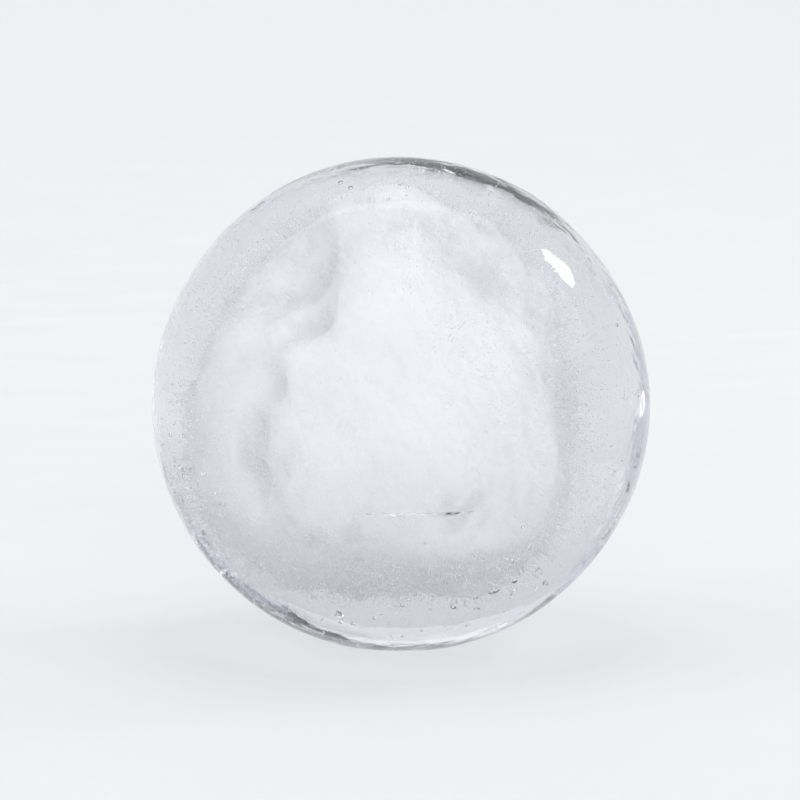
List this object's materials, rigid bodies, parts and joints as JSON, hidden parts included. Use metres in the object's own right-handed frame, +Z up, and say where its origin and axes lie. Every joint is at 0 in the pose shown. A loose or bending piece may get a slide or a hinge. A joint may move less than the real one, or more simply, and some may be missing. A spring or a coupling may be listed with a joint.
{
  "type": "ice ball",
  "caption": "Ball of clear ice with a cloudy white middle, for chilling a drink. It rests on a small melted flat.",
  "frame": {"origin": "middle of the round melted flat that the ball rests on", "axes": "+Z up through the ball, -Z out of the flat; the side that faces -Y is the one the picture shows"},
  "size_m": [0.0602, 0.06, 0.0587],
  "materials": {
    "ice": "smooth wet clear ice, cloudy white in the middle"
  },
  "bodies": {
    "root": {"ice_ball": "ice"}
  },
  "joints": []
}
